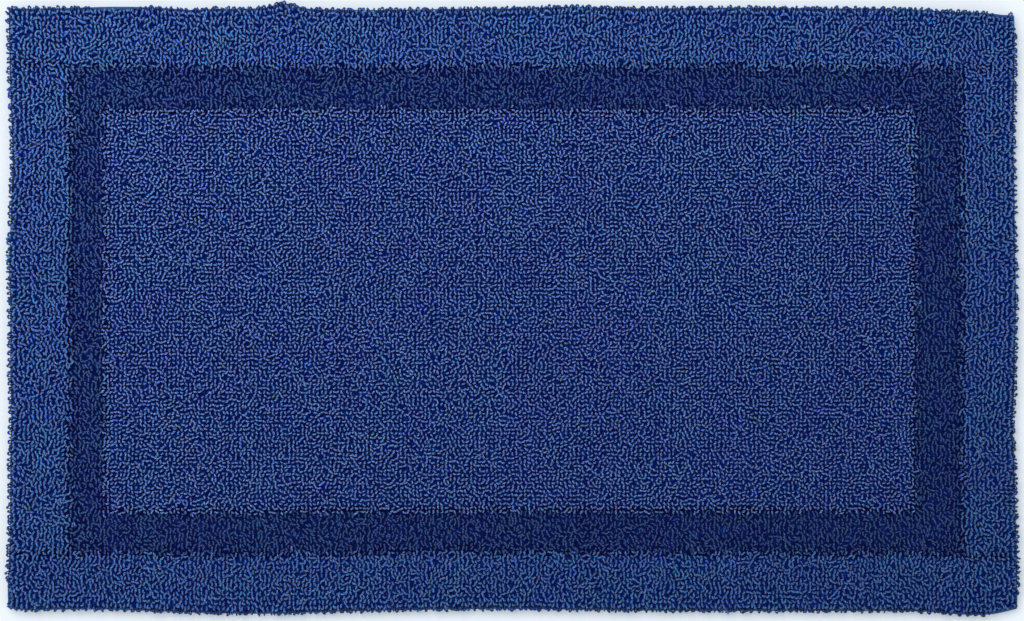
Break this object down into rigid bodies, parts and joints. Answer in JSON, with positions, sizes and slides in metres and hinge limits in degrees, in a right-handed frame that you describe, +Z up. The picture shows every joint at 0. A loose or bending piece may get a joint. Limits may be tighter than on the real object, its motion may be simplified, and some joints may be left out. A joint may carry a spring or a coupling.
{
  "type": "bath mat",
  "caption": "Rectangular tufted cotton bath mat in navy loop pile, with a lower cut-pile frame channel set in from hemmed edges and a latex-coated back.",
  "frame": {"origin": "on the floor under the middle of the mat, in the plane of the hems' underside", "axes": "+X along the long sides, +Y across to the rear side, +Z up through the pile"},
  "size_m": [1, 0.6, 0.016],
  "materials": {
    "loop_pile": "navy looped cotton yarn",
    "cut_pile": "navy cut cotton pile",
    "canvas": "navy plain-woven cotton canvas",
    "sewing_thread": "navy spun polyester thread",
    "latex": "matt sprayed latex",
    "label_tape": "blank white satin tape"
  },
  "bodies": {
    "root": {"ground_cloth": "canvas", "back_coat": "latex", "centre_pile": "loop_pile", "care_label": "label_tape", "border_pile_front": "loop_pile", "channel_pile_front": "cut_pile", "hem_front": "canvas", "hem_stitching_front": "sewing_thread", "border_pile_rear": "loop_pile", "channel_pile_rear": "cut_pile", "hem_rear": "canvas", "hem_stitching_rear": "sewing_thread", "border_pile_left": "loop_pile", "channel_pile_left": "cut_pile", "hem_left": "canvas", "hem_stitching_left": "sewing_thread", "border_pile_right": "loop_pile", "channel_pile_right": "cut_pile", "hem_right": "canvas", "hem_stitching_right": "sewing_thread"}
  },
  "joints": []
}
